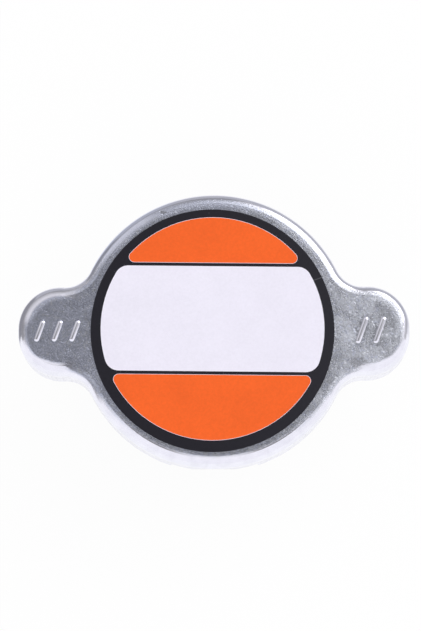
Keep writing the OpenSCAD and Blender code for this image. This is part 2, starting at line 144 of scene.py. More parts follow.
class Wire:
    """A shader output that stands in Python expressions. Each operator adds one Math node."""

    def __init__(self, socket):
        self.socket = socket

    def node(self, kind, settings=None, sockets=None, output=0):
        """Adds a node to the same tree, sets it up, feeds its sockets and returns one output."""
        tree = self.socket.id_data
        made = tree.nodes.new("ShaderNode" + kind)
        for name, value in (settings or {}).items():
            setattr(made, name, value)
        for name, value in (sockets or {}).items():
            if isinstance(value, Wire):
                tree.links.new(value.socket, made.inputs[name])
            else:
                made.inputs[name].default_value = value
        return Wire(made.outputs[output])

    def math(self, operation, first, second=0.0):
        return self.node("Math", {"operation": operation}, {0: first, 1: second})

    def __add__(self, other):
        return self.math("ADD", self, other)

    def __radd__(self, other):
        return self.math("ADD", other, self)

    def __sub__(self, other):
        return self.math("SUBTRACT", self, other)

    def __rsub__(self, other):
        return self.math("SUBTRACT", other, self)

    def __mul__(self, other):
        return self.math("MULTIPLY", self, other)

    def __rmul__(self, other):
        return self.math("MULTIPLY", other, self)

    def __truediv__(self, other):
        return self.math("DIVIDE", self, other)

    def __rtruediv__(self, other):
        return self.math("DIVIDE", other, self)

    def __pow__(self, other):
        return self.math("POWER", self, other)

    def __neg__(self):
        return self.math("MULTIPLY", self, -1.0)

    def __abs__(self):
        return self.math("ABSOLUTE", self)

    def larger(self, other):
        return self.math("MAXIMUM", self, other)

    # Nodes that most finishes use

    def split(self):
        """The three parts of a vector."""
        apart = self.node("SeparateXYZ", None, {0: self})
        return [Wire(socket) for socket in apart.socket.node.outputs]

    def scaled(self, x, y, z):
        """A vector with each part multiplied."""
        return self.node("VectorMath", {"operation": "MULTIPLY"}, {0: self, 1: (x, y, z)})

    def towards(self, way):
        """How far a direction points a given way, from -1 to 1."""
        sockets = {0: self, 1: Vector(way).normalized()}
        return self.node("VectorMath", {"operation": "DOT_PRODUCT"}, sockets, "Value")

    def turned(self, degrees):
        """A vector turned about the cap's axis."""
        rotation = (0.0, 0.0, math.radians(degrees))
        return self.node("Mapping", None, {"Vector": self, "Rotation": rotation})

    def rise(self, low, high):
        """A smooth step from 0 at low to 1 at high, or down again where low is the larger."""
        settings = {"interpolation_type": "SMOOTHSTEP", "clamp": True}
        if low < high:
            sockets = {"Value": self, "From Min": low, "From Max": high}
            return self.node("MapRange", settings, sockets)
        return 1.0 - self.rise(high, low)

    def cloud(self, size, detail=3.0, roughness=0.55):
        """Noise from 0 to 1 whose patches are about the given size."""
        sockets = {"Vector": self, "Scale": 1.0 / size, "Detail": detail, "Roughness": roughness}
        return self.node("TexNoise", {"noise_dimensions": "3D"}, sockets)

    def crystals(self, size, output="Color"):
        """Cells of about the given size: a random value for each, or the distance from its middle."""
        sockets = {"Vector": self, "Scale": 1.0 / size, "Randomness": 1.0}
        found = self.node("TexVoronoi", {"feature": "F1"}, sockets, output)
        return found.split()[0] if output == "Color" else found

    def blend(self, first, second):
        """A colour between two, by this value."""
        settings = {"data_type": "RGBA", "blend_type": "MIX", "clamp_factor": True}
        return self.node("Mix", settings, {0: self, 6: opaque(first), 7: opaque(second)}, 2)

    def relief(self, depth, normal=None):
        """A normal bumped by this height, whose full step is the depth in metres."""
        sockets = {"Height": self, "Strength": 1.0, "Distance": depth}
        if normal is not None:
            sockets["Normal"] = normal
        return self.node("Bump", None, sockets)

    def leaning(self, back):
        """The surface's own normal, leant to the cap's right by this value and to its far side by another."""
        sideways = self.node("CombineXYZ", None, {"X": self, "Y": back})
        settings = {"vector_type": "VECTOR", "convert_from": "OBJECT", "convert_to": "WORLD"}
        sideways = self.node("VectorTransform", settings, {"Vector": sideways})
        upright = self.node("NewGeometry", output="Normal")
        leant = self.node("VectorMath", {"operation": "ADD"}, {0: upright, 1: sideways})
        return self.node("VectorMath", {"operation": "NORMALIZE"}, {0: leant})


def opaque(colour):
    """A colour with its alpha, or a link as it is."""
    return colour if isinstance(colour, Wire) else (*colour[:3], 1.0)


def tinted(colour, factor, tint=(1.0, 1.0, 1.0)):
    """A colour made lighter or darker by a factor, and tinted."""
    return tuple(min(1.0, part * factor * shift) for part, shift in zip(colour, tint))


def finish(name, recipe, colour):
    """A material whose recipe gets the place on the cap in millimetres and returns the shader's sockets."""
    material = bpy.data.materials.new(name)
    material.use_nodes = True
    tree = material.node_tree
    shader = tree.nodes["Principled BSDF"]
    place = Wire(tree.nodes.new("ShaderNodeTexCoord").outputs["Object"])
    for socket, value in recipe(place.scaled(1 / MM, 1 / MM, 1 / MM), tuple(colour)).items():
        if isinstance(value, Wire):
            tree.links.new(value.socket, shader.inputs[socket])
        else:
            shader.inputs[socket].default_value = value
    material.diffuse_color = (*tuple(colour)[:3], 1.0)
    return material


def wear(pieces, material):
    """Gives pieces one material."""
    for piece in pieces:
        piece.data.materials.clear()
        piece.data.materials.append(material)


# Finishes


def plan_radius(x, y):
    """Distance in plan from the cap's axis, or the length of two steps at right angles."""
    return (x * x + y * y) ** 0.5


def plan_distance(x, y, point, floor=None):
    """Distance in plan from a point of each quarter, given for the far right, with a least step across."""
    along, across = abs(x) - point[0], abs(y) - point[1]
    if floor is not None:
        across = across.larger(floor)
    return plan_radius(along, across)


def hair_lines(mm, degrees, width, length, share):
    """Fine straight scratches in one direction, as a mask."""
    along = mm.turned(degrees).scaled(1.0 / length, 1.0 / width, 1.0 / length)
    return along.cloud(1.0, 2.0, 0.6).rise(share, share + 0.05)


def dots(mm, spacing, rim, share):
    """Round dots as a mask: their spacing, the distances over which one fades, and which cells hold one."""
    return mm.crystals(spacing, "Distance").rise(*rim) * mm.crystals(spacing).rise(*share)


def lathe_rings(mm, across, along, roughness):
    """Noise drawn out into rings about the cap's axis, with so many repeats to a millimetre."""
    x, y, z = mm.split()
    plan = mm.node("CombineXYZ", None, {0: plan_radius(x, y), 1: z})
    return plan.scaled(across, along, 1.0).cloud(1.0, 2.0, roughness)


class PressedSheet:
    """The shell's zinc-plated sheet: masks of its stretches and marks, and what each socket makes of them.

    Places are in millimetres. Near is the side of the near lug, and far is the other side.
    """

    def __init__(self, mm):
        self.mm = mm
        self.x, self.y, self.z = mm.split()
        self.radius = plan_radius(self.x, self.y)
        self.find_stretches()
        self.find_marks()
        self.skin = self.dull_shaded_skin()

    def find_stretches(self):
        """Masks of the stretches that catch the light in their own way, and distances from the ears' ends."""
        x, y = self.x, self.y
        self.right = x.rise(-4.0, 4.0)
        self.near = y.rise(-12.0, -19.0)
        self.wall = self.z.rise(*WALL_HEIGHTS)
        beside_disc = abs(x).rise(18.4, 21.2) * abs(x).rise(26.0, 24.0)
        self.near_coves = beside_disc * y.rise(-4.5, -6.5)
        self.far_left_cove = beside_disc * x.rise(-16.0, -17.5) * y.rise(4.5, 6.5)
        self.near_ears = abs(x).rise(23.0, 27.0) * y.rise(0.0, -3.5)
        self.far_left_ear = x.rise(-22.0, -26.0) * y.rise(0.0, 3.0)
        self.from_corner = plan_distance(x, y, EAR_CORNER, 0.0)
        # The near bright band, where the flat's painted shade ends, starts further out towards each ear's
        # tip, and on the right ear
        self.from_near_corner = self.from_corner - self.right * 0.22
        self.from_near_corner -= abs(x).rise(27.8, 32.6) * (1.1 - self.right * 0.5)

    def find_marks(self):
        """Grain, wear and dirt of the sheet, as noise or as masks."""
        mm, x, y = self.mm, self.x, self.y
        self.clouding = mm.cloud(2.2, 4.0, 0.6)
        self.crystals = mm.crystals(0.55)
        self.grain = mm.cloud(0.26, 3.0, 0.75)
        self.draw_lines = mm.scaled(1.0 / 0.30, 1.0 / 0.30, 1.0 / 9.0).cloud(1.0, 3.0, 0.65)
        sandy = x.rise(8.0, 24.0) * (0.45 + 0.55 * mm.cloud(4.0, 2.0).rise(0.35, 0.6))
        self.sandy = sandy.larger(y.rise(8.0, 17.0) * self.radius.rise(22.0, 21.3) * 0.4)
        self.specks = dots(mm, 0.8, (0.42, 0.14), (0.55, 0.70)) * mm.cloud(0.3, 2.0).rise(0.42, 0.58)
        self.pits = dots(mm, 1.1, (0.30, 0.10), (0.72, 0.80))
        self.scuffs = mm.turned(35.0).scaled(0.5, 1.5, 1.0).cloud(1.0, 4.0, 0.7).rise(0.54, 0.70)
        lines = hair_lines(mm, 28.0, 0.08, 3.5, 0.71) + hair_lines(mm, -64.0, 0.07, 2.6, 0.73)
        self.scratches = lines * (0.35 + x.rise(-12.0, 4.0) * 0.65)
        # Darker in patches round the ribs
        self.rib_darkening = self.round_ribs() * mm.cloud(0.7, 3.0, 0.7).rise(0.44, 0.60)
        dirt = mm.cloud(0.22, 3.0, 0.8).rise(0.48, 0.62) * (0.5 + self.near * 0.7)
        self.rim_dirt = dirt * self.radius.rise(21.6, 20.95)
        from_ding = plan_radius(x - DING[0], (y - DING[1]) * DING_SQUEEZE)
        self.ding = (from_ding + (mm.cloud(0.5, 2.0) - 0.5) * 1.4).rise(0.75, 0.35)

    def round_ribs(self):
        """A mask round the raised ribs of the right ear."""
        upright = self.x - self.y * math.tan(RIB_LEAN)
        first, second = (abs(upright - column).rise(1.25, 0.45) for column in RIGHT_RIBS)
        return first.larger(second) * abs(self.y).rise(RIB_REACH + 1.2, RIB_REACH - 0.4)

    def dull_shaded_skin(self):
        """The flat's dull skin: a mottled finish whose darker colour is also painted shade. It ends in a
        ragged line on the rolled edge, or at a bright band, and leaves the rib tops bright.
        """
        x, y, z = self.x, self.y, self.z
        ragged = z + (self.grain - 0.5) * 0.45 * z.rise(*RAGGED_HEIGHTS)
        ragged = ragged + self.near_coves * 0.26 + self.far_left_cove * 0.14
        # The painted shade stops short on the near rim, the ears and the far left rim, so that their
        # highlight bands keep the bright colour
        near_rim = self.near * self.radius.rise(21.3, 21.8)
        far_left_rim = x.rise(-6.0, -12.0) * x.rise(-19.5, -16.5) * y.rise(10.0, 14.0)
        far_left_rim = far_left_rim * self.radius.rise(21.4, 21.8) * (0.2 + self.grain * 0.7)
        ears = self.near_ears * self.from_near_corner.rise(4.85, 5.35)
        ears = ears + self.far_left_ear * self.from_corner.rise(5.35, 5.75)
        skin = ragged.rise(*SKIN_HEIGHTS) * z.rise(*RIB_FOOT_HEIGHTS)
        return skin * (1.0 - near_rim) * (1.0 - ears) * (1.0 - far_left_rim)

    def tone(self):
        """How light the dull skin is, from 0 to 1."""
        x, y = self.x, self.y
        right_tip = x.rise(27.0, 32.0)
        far_right_ear = x.rise(21.0, 26.0) * y.rise(0.5, 5.0)
        far_right_rim = x.rise(8.0, 13.0) * y.rise(8.0, 12.0)
        near_right_cove = x.rise(16.0, 20.0) * x.rise(27.0, 23.0) * y.rise(-3.0, -7.0)
        beside_label = self.radius.rise(21.85, 21.45) * y.rise(10.0, 14.0)
        beside_label = beside_label * x.rise(-15.5, -12.5) * x.rise(-1.0, -5.0)
        # Painted shade and light: the level falls towards the far side, on the right tip, the far right ear,
        # the near right cove and beside the label, and rises on the far right rim
        level = 0.54 - y * 0.010 - right_tip * 0.26 - far_right_ear * 0.14
        level = level + far_right_rim * 0.2 - near_right_cove * 0.24 - beside_label * 0.2
        mottle = (self.clouding - 0.5) * 0.4 + (self.grain - 0.5) * (1.3 + self.sandy * 0.5)
        mottle = mottle + (self.mm.cloud(3.4, 2.0) - 0.5) * self.sandy * 0.7
        light = (self.specks * 0.4 + self.scuffs * 0.3) * self.sandy + self.scratches * 0.06
        dark = self.pits * (0.1 + self.sandy * 0.7) + (self.rib_darkening + self.rim_dirt) * 0.6
        return (level + mottle + light - dark).rise(0.0, 1.0)

    def dull_colour(self, zinc):
        """The flat's skin: grey as painted shade over its mottled finish, cool in places and olive in others,
        with bare specks.
        """
        tone = self.tone()
        cool, olive = (tone.blend(tinted(zinc, DULL_RANGE[0], tint), tinted(zinc, DULL_RANGE[1], tint))
                       for tint in (COOL_TINT, OLIVE_TINT))
        dull = (self.mm.cloud(0.6, 3.0, 0.7) + self.x * 0.004).rise(0.38, 0.62).blend(cool, olive)
        return (self.specks * self.sandy * 0.4).blend(dull, zinc)

    def bright_colour(self, zinc):
        """The rolled edge and the walls: bright, with draw lines on the walls, and a cooler, darker painted
        reflection at the far left.
        """
        lines = self.wall * self.draw_lines.rise(0.45, 0.75) * 0.9
        low, high = (tinted(zinc, factor, BRIGHT_TINT) for factor in BRIGHT_RANGE)
        bright = (self.clouding.rise(0.2, 0.8) - lines).rise(-0.6, 1.0).blend(low, high)
        # Painted reflection: the far left of the rolled edge is cooled and darkened
        far_left_reflection = self.x.rise(-4.0, -12.0) * self.y.rise(8.0, 13.0)
        return (far_left_reflection * 0.65).blend(bright, tinted(zinc, 0.92, COOL_TINT))

    def colour(self, zinc):
        """Both colours by the skin, with painted shade on the far rim, the dirt round the label and the ding.
        """
        # Painted shade: the far rim near the middle is darkened and cooled
        far_rim_shade = self.y.rise(18.3, 20.6) * self.x.rise(9.0, 2.0) * self.radius.rise(22.9, 22.4)
        far_rim_shade = far_rim_shade * (0.48 + self.clouding * 0.4)
        sheet = self.skin.blend(self.bright_colour(zinc), self.dull_colour(zinc))
        sheet = far_rim_shade.blend(sheet, tinted(zinc, 0.60, COOL_TINT))
        sheet = (self.rim_dirt * 0.5).blend(sheet, tinted(zinc, 0.25, OLIVE_TINT))
        return (self.ding * 0.75).blend(sheet, tinted(zinc, 0.22))

    def roughness(self):
        """Smooth where it is rolled, a little rougher on the skin, the walls and in the ding."""
        rough = 0.11 + self.clouding * 0.05 - self.scratches * 0.02 + self.ding * 0.2
        rough = rough + (self.grain * 0.10 + self.crystals * 0.07 + self.sandy * 0.08) * self.skin
        return rough + self.wall * (0.05 + self.draw_lines * 0.12)

    def height(self):
        """Relief of the grain and the marks, in parts of its depth."""
        sand = self.grain * (0.7 + self.sandy * 0.9) + self.crystals * 0.12 + self.specks * self.sandy * 0.45
        worn = self.pits * (0.2 + self.sandy) + self.scratches * 0.12
        height = sand * (0.05 + self.skin * 0.95) - worn * self.skin
        return height + self.clouding * 0.15 - self.ding * 1.5 + self.wall * self.draw_lines * 0.12

    def leant_normal(self):
        """The surface's normal, leant a little before the rolled edge on the disc, the ears and the coves."""
        x, y, from_corner = self.x, self.y, self.from_corner
        disc = abs(x).rise(19.5, 15.5)
        far = y.rise(-4.0, 4.0)
        far_rim = self.radius.rise(20.9, 21.7) * self.radius.rise(23.0, 22.0) * far * disc
        near_rim = self.radius.rise(21.05, 21.85) * (1.0 - far) * disc
        ends = from_corner.rise(6.8, 6.0)
        far_ears = from_corner.rise(4.4, 5.2) * abs(x).rise(23.0, 27.5) * y.rise(0.0, 3.5) * ends
        far_left_ear = from_corner.rise(4.8, 5.5) * self.far_left_ear * ends
        right_tip = from_corner.rise(4.5, 5.3) * x.rise(26.0, 29.0) * y.rise(-3.0, 0.0) * ends
        near_ears = self.from_near_corner.rise(4.4, 5.4) * self.near_ears
        from_cove = plan_distance(x, y, COVE_MIDDLE)
        near_coves = from_cove.rise(6.75, 6.2) * from_cove.rise(5.3, 5.8) * self.near_coves
        # How far each stretch leans, in parts of the normal's length
        back = far_rim * 0.13 - near_rim * (0.12 + abs(x).rise(9.0, 2.0) * 0.11)
        back = back + far_ears * (0.15 - self.right * 0.105) + far_left_ear * 0.04
        back = back - near_ears * 0.23 + near_coves * (0.34 - self.right * 0.20)
        aside = right_tip * 0.12 - far_left_ear * x.rise(-24.0, -29.0) * 0.10
        top = self.z.rise(*TOP_HEIGHTS)
        return (aside * top).leaning(back * top)


def zinc_sheet(mm, colour):
    """Bright zinc on pressed sheet: mottled and painted darker as shade on the flat, smooth and bright where
    it is rolled.
    """
    sheet = PressedSheet(mm)
    return {"Base Color": sheet.colour(colour), "Metallic": 1.0, "Roughness": sheet.roughness(),
            "Normal": sheet.height().relief(0.050 * MM, sheet.leant_normal())}


def plated_steel(mm, colour):
    """Drawn and plated sheet: faint turning lines, clouding and handling marks."""
    rings = lathe_rings(mm, 9.0, 1.2, 0.6)
    clouding = mm.cloud(3.0, 4.0, 0.6)
    stains = mm.cloud(1.1, 3.0).rise(0.60, 0.82)
    tone = rings * 0.45 + clouding * 0.55 - stains * 0.1
    return {"Base Color": tone.rise(0.2, 0.8).blend(tinted(colour, 0.78), tinted(colour, 1.18)),
            "Metallic": 1.0, "Roughness": 0.24 + clouding * 0.14 + stains * 0.10 + rings * 0.04,
            "Normal": (rings * 0.6 + clouding * 0.2).relief(0.012 * MM)}


def drawn_wire(mm, colour):
    """Hard-drawn wire: die lines, dull patches and a little oil."""
    clouding = mm.cloud(1.6, 4.0, 0.6)
    lines = mm.scaled(0.6, 0.6, 7.0).cloud(1.0, 3.0, 0.6)
    oil = mm.cloud(2.8, 2.0).rise(0.55, 0.70)
    tone = clouding * 0.6 + lines * 0.4
    return {"Base Color": tone.rise(0.25, 0.75).blend(tinted(colour, 0.66), tinted(colour, 1.25)),
            "Metallic": 1.0, "Roughness": 0.34 + clouding * 0.12 - oil * 0.12,
            "Normal": lines.relief(0.014 * MM)}


def turned_brass(mm, colour):
    """Brass with lathe rings, darkened in spots."""
    rings = lathe_rings(mm, 7.0, 2.0, 0.7)
    tarnish = mm.cloud(2.6, 3.0, 0.55).rise(0.48, 0.80)
    tone = (rings - 0.5) * 1.1 + 0.72 - tarnish * 0.35
    return {"Base Color": tone.rise(0.1, 0.9).blend(tinted(colour, 0.55), tinted(colour, 1.15)),
            "Metallic": 1.0, "Roughness": 0.24 + rings * 0.10 + tarnish * 0.16,
            "Normal": (rings - tarnish * 0.1).relief(0.030 * MM)}


def moulded_rubber(mm, colour):
    """Moulded rubber: fine matt grain, bloom in clouds and a few shiny rubs."""
    grain = mm.cloud(0.16, 3.0, 0.7)
    bloom = mm.cloud(2.4, 4.0, 0.6).rise(0.42, 0.78)
    rubs = mm.cloud(1.2, 2.0).rise(0.62, 0.74)
    dust = dots(mm, 0.5, (0.22, 0.08), (0.78, 0.84))
    pale = bloom * 0.65 + grain * 0.35 + dust * 0.8
    return {"Base Color": pale.blend(tinted(colour, 0.7), tinted(colour, 2.3)),
            "Roughness": 0.56 + bloom * 0.16 - rubs * 0.14, "Specular IOR Level": 0.38,
            "Normal": (grain * 0.8 + bloom * 0.3).relief(0.050 * MM)}


def label_film(mm, colour):
    """Dark label film with a soft gloss, dust, one short scratch and a faint painted sheen towards its right
    side.
    """
    x, y, _ = mm.split()
    clouding = mm.cloud(0.5, 3.0, 0.6)
    dust = dots(mm, 0.8, (0.10, 0.04), (0.86, 0.90))
    along, across = x - FILM_SCRATCH[0], y - FILM_SCRATCH[1]
    scratch = abs(across - along * 0.35).rise(0.10, 0.03) * abs(along).rise(1.1, 0.7)
    # Dust and the scratch are pale marks; the last term is a painted sheen that lightens the film towards the
    # right
    pale = dust * 0.5 + scratch * 0.35 + x.rise(-5.0, 21.0) * 0.025
    film = clouding.blend(tinted(colour, 0.75), tinted(colour, 1.35))
    return {"Base Color": pale.blend(film, FILM_DUST_AND_SHEEN),
            "Roughness": 0.36 + clouding * 0.10 + pale * 0.2, "Specular IOR Level": 0.35,
            "Normal": (clouding * 0.5 + pale).relief(0.006 * MM)}


def screen_print(mm, colour, spread=0.09):
    """Printed ink: a fine mottle in its strength, tiny pinholes and a soft gloss."""
    mottle = mm.cloud(0.45, 4.0, 0.65)
    pinholes = dots(mm, 1.1, (0.07, 0.03), (0.88, 0.92))
    strength = (mottle * 0.6 + mm.cloud(7.0, 2.0) * 0.4 - pinholes * 0.5).rise(0.2, 0.8)
    return {"Base Color": strength.blend(tinted(colour, 0.99 - spread), tinted(colour, 0.99 + spread)),
            "Roughness": 0.40 + mottle * 0.12, "Specular IOR Level": 0.28,
            "Normal": (mottle - pinholes).relief(0.004 * MM)}


def white_ink(mm, colour):
    """Printed ink whose mottle is faint."""
    return screen_print(mm, colour, 0.045)


# Modelling


def bare_scene():
    """Leaves edit mode and deselects everything."""
    if bpy.context.object and bpy.context.object.mode != "OBJECT":
        bpy.ops.object.mode_set(mode="OBJECT")
    for each in bpy.context.view_layer.objects:
        each.select_set(False)


def pick(piece):
    """Makes one object the only selected one and the active one."""
    bare_scene()
    piece.select_set(True)
    bpy.context.view_layer.objects.active = piece


def smooth_skin(name, node, angle):
    """A copy of a node's mesh with its loose triangles joined, so that light runs on across its seams."""
    skin = bpy.data.objects.new(name, node.data.copy())
    skin.data.name = name
    bpy.context.scene.collection.objects.link(skin)
    pick(skin)
    bpy.ops.object.mode_set(mode="EDIT")
    bpy.ops.mesh.select_all(action="SELECT")
    bpy.ops.mesh.remove_doubles(threshold=MERGE)
    bpy.ops.object.mode_set(mode="OBJECT")
    bpy.ops.mesh.customdata_custom_splitnormals_clear()
    bpy.ops.object.shade_smooth_by_angle(angle=angle)
    even = skin.modifiers.new("even_light", "WEIGHTED_NORMAL")
    even.keep_sharp = True
    bpy.ops.object.modifier_apply(modifier=even.name)
    return skin


def coil_run(middle_r, wire_d, angle, turn, low, climb, steps):
    """A run of coil: a wire section set upright at an angle and screwed about the cap's axis."""
    bare_scene()
    bpy.ops.mesh.primitive_circle_add(vertices=WIRE_SIDES, radius=wire_d / 2, location=(middle_r, 0.0, low),
                                      rotation=(math.pi / 2, 0.0, 0.0))
    run = bpy.context.object
    bpy.ops.object.transform_apply(location=True, rotation=True, scale=True)
    run.rotation_euler = (0.0, 0.0, angle)
    bpy.ops.object.transform_apply(location=True, rotation=True, scale=True)
    screw = run.modifiers.new("screw", "SCREW")
    screw.axis = "Z"
    screw.angle = 2 * math.pi * turn
    screw.screw_offset = climb
    screw.iterations = 1
    screw.steps = screw.render_steps = max(8, round(steps * turn))
    screw.use_smooth_shade = True
    bpy.ops.object.modifier_apply(modifier=screw.name)
    return run


def coil_spring(name, low, high, wire_d, turns, steps):
    """A coil spring with closed end turns, between two heights."""
    middle_r = (high.x - low.x) / 2 - wire_d / 2
    end_climb = wire_d * CLOSED_PITCH
    open_turns = turns - 2
    open_climb = high.z - low.z - wire_d - 2 * end_climb
    first_z = low.z + wire_d / 2
    open_z = first_z + end_climb
    last_z = open_z + open_climb
    last_angle = 2 * math.pi * open_turns
    runs = [coil_run(middle_r, wire_d, 0.0, 1.0, first_z, end_climb, steps),
            coil_run(middle_r, wire_d, 0.0, open_turns, open_z, open_climb, steps),
            coil_run(middle_r, wire_d, last_angle, 1.0, last_z, end_climb, steps)]
    bare_scene()
    for run in runs:
        run.select_set(True)
    bpy.context.view_layer.objects.active = runs[0]
    bpy.ops.object.join()
    spring = bpy.context.object
    spring.name = spring.data.name = name
    bpy.ops.object.mode_set(mode="EDIT")
    bpy.ops.mesh.select_all(action="SELECT")
    bpy.ops.mesh.remove_doubles(threshold=wire_d * WIRE_MERGE)
    bpy.ops.mesh.select_all(action="DESELECT")
    bpy.ops.mesh.select_mode(type="EDGE")
    bpy.ops.mesh.select_non_manifold(extend=False, use_boundary=True, use_wire=False, use_multi_face=False,
                                     use_non_contiguous=False, use_verts=False)
    bpy.ops.mesh.edge_face_add()
    bpy.ops.mesh.select_mode(type="FACE")
    bpy.ops.mesh.inset(thickness=wire_d * WIRE_END_INSET, use_individual=True)
    bpy.ops.mesh.select_all(action="SELECT")
    bpy.ops.mesh.normals_make_consistent(inside=False)
    bpy.ops.object.mode_set(mode="OBJECT")
    bpy.ops.object.shade_smooth_by_angle(angle=WIRE_SMOOTH)
    return spring


def print_outline(name, source, width):
    """A thin printed line round every field of a print node, grown outwards from a copy of its side walls."""
    outline = bpy.data.objects.new(name, source.data.copy())
    outline.data.name = name
    bpy.context.scene.collection.objects.link(outline)
    pick(outline)
    bpy.ops.object.mode_set(mode="EDIT")
    bpy.ops.mesh.select_mode(type="FACE")
    bpy.ops.mesh.select_all(action="SELECT")
    bpy.ops.mesh.remove_doubles(threshold=MERGE)
    bpy.ops.object.mode_set(mode="OBJECT")
    for face in outline.data.polygons:
        face.select = abs(face.normal.z) > 0.5
    bpy.ops.object.mode_set(mode="EDIT")
    bpy.ops.mesh.delete(type="FACE")
    bpy.ops.object.mode_set(mode="OBJECT")
    ink = outline.modifiers.new("width", "SOLIDIFY")
    ink.thickness = width
    ink.offset = 1.0
    ink.use_even_offset = True
    bpy.ops.object.modifier_apply(modifier=ink.name)
    bpy.ops.object.mode_set(mode="EDIT")
    bpy.ops.mesh.select_all(action="SELECT")
    bpy.ops.mesh.normals_make_consistent(inside=False)
    bpy.ops.object.mode_set(mode="OBJECT")
    bpy.ops.object.shade_flat()
    return outline


# Settings


def colour_setting(name, description, default):
    return bpy.props.FloatVectorProperty(name=name, description=description, subtype="COLOR", size=3,
                                         min=0.0, max=1.0, default=default)


def length_setting(name, description, default):
    return bpy.props.FloatProperty(name=name, description=description, subtype="DISTANCE", unit="LENGTH",
                                   min=0.0, default=default, precision=5)


class CapColours(bpy.types.PropertyGroup):
    """Base colours of the cap's finishes."""

    zinc: colour_setting("Zinc", "Bright zinc on the pressed shell", (0.880, 0.885, 0.950))
    film: colour_setting("Label film", "Dark ground of the label", (0.0075, 0.0068, 0.0125))
    orange: colour_setting("Orange print", "Two round-ended fields", (0.940, 0.132, 0.016))
    white: colour_setting("White print", "Middle field and keylines", (0.860, 0.838, 0.935))
    plate: colour_setting("Plated steel", "Rivet, cup and plate", (0.600, 0.600, 0.620))
    disc: colour_setting("Spring disc", "Rolled strip of the spring disc", (0.540, 0.550, 0.580))
    bell: colour_setting("Bell", "Drawn bell round the pressure spring", (0.590, 0.565, 0.500))
    wire: colour_setting("Spring wire", "Hard-drawn wire of both springs", (0.400, 0.410, 0.440))
    brass: colour_setting("Brass", "Vacuum valve and its washer", (0.700, 0.480, 0.200))
    gasket: colour_setting("Gasket rubber", "Top gasket", (0.018, 0.018, 0.019))
    seal: colour_setting("Seal rubber", "Valve seal", (0.016, 0.016, 0.017))


class CapSprings(bpy.types.PropertyGroup):
    """Wire and turns of the two springs."""

    wire_d: length_setting("Pressure wire", "Wire diameter of the pressure spring", 1.7 * MM)
    turns: bpy.props.FloatProperty(name="Pressure turns", description="Turns of the pressure spring",
                                   min=3.0, max=8.0, default=4.5)
    small_wire_d: length_setting("Vacuum wire", "Wire diameter of the vacuum spring", 0.5 * MM)
    small_turns: bpy.props.FloatProperty(name="Vacuum turns", description="Turns of the vacuum spring",
                                         min=3.0, max=8.0, default=4.0)
    lift: length_setting("Valve lift", "Travel that presses the pressure spring", 2.5 * MM)
    drop: length_setting("Vacuum drop", "Travel that presses the vacuum spring", 1.5 * MM)


class CapPrint(bpy.types.PropertyGroup):
    """Sizes of the label's print."""

    keyline: length_setting("Keyline", "Width of the pale line round an orange field", 0.055 * MM)


class CapStudio(bpy.types.PropertyGroup):
    """Camera and light of the picture."""

    distance: length_setting("Camera distance", "From the lens to the cap's top", 0.7)
    tilt: bpy.props.FloatProperty(name="Tilt", description="Lean of the camera towards the near lug",
                                  subtype="ANGLE", default=math.radians(6.03))
    lean: bpy.props.FloatProperty(name="Lean", description="Lean of the camera towards the right ear",
                                  subtype="ANGLE", default=math.radians(0.19))
    roll: bpy.props.FloatProperty(name="Roll", description="Turn of the picture", subtype="ANGLE",
                                  default=math.radians(0.17))
    scale: bpy.props.FloatProperty(name="Scale", description="Pixels to a millimetre at the cap's top",
                                   min=1.0, default=5.876)
    dome: bpy.props.FloatProperty(name="Dome", description="Strength of the studio's pale walls",
                                  min=0.0, default=1.0)


# Operators


class CAP_OT_shell(bpy.types.Operator):
    """Finish the pressed shell in bright zinc"""

    bl_idname = "cap.shell"
    bl_label = "Shell"

    def execute(self, context):
        zinc = finish("zinc_sheet", zinc_sheet, context.scene.cap_colours.zinc)
        skin = smooth_skin("shell_skin", NODES["cap_shell"], SHELL_SMOOTH)
        wear([NODES["cap_shell"], skin], zinc)
        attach(skin, "shell")
        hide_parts("cap_shell")
        return {"FINISHED"}


class CAP_OT_label(bpy.types.Operator):
    """Finish the label's film and fields, and print a keyline round the orange fields"""

    bl_idname = "cap.label"
    bl_label = "Label"

    def execute(self, context):
        colours, sizes = context.scene.cap_colours, context.scene.cap_print
        white = finish("white_print", white_ink, colours.white)
        wear([NODES["face_label"]], finish("label_film", label_film, colours.film))
        wear([NODES["label_orange_fields"]], finish("orange_print", screen_print, colours.orange))
        wear([NODES["label_white_field"]], white)
        keylines = print_outline("label_keylines", NODES["label_orange_fields"], sizes.keyline)
        wear([keylines], white)
        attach(keylines, "shell")
        return {"FINISHED"}


class CAP_OT_springs(bpy.types.Operator):
    """Wind the pressure spring and the vacuum spring from round wire"""

    bl_idname = "cap.springs"
    bl_label = "Springs"

    def execute(self, context):
        sizes = context.scene.cap_springs
        wire = finish("spring_wire", drawn_wire, context.scene.cap_colours.wire)
        large = coil_spring("pressure_spring_wire", COIL_LOW, COIL_HIGH,
                            sizes.wire_d, sizes.turns, TURN_STEPS)
        small = coil_spring("vacuum_spring_wire", SMALL_COIL_LOW, SMALL_COIL_HIGH,
                            sizes.small_wire_d, sizes.small_turns, SMALL_TURN_STEPS)
        wear([large, small], wire)
        rows = ((large, "carrier", "pressure_spring", "pressure_lift", COIL_HIGH.z,
                 1 - sizes.lift / (COIL_HIGH.z - COIL_LOW.z)),
                (small, "pressure_valve", "vacuum_spring", "vacuum_drop", SMALL_COIL_LOW.z,
                 1 - sizes.drop / (SMALL_COIL_HIGH.z - SMALL_COIL_LOW.z)))
        for spring, body, node, joint, anchor_z, keep in rows:
            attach(spring, body)
            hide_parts(node)
            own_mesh(spring)
        return {"FINISHED"}


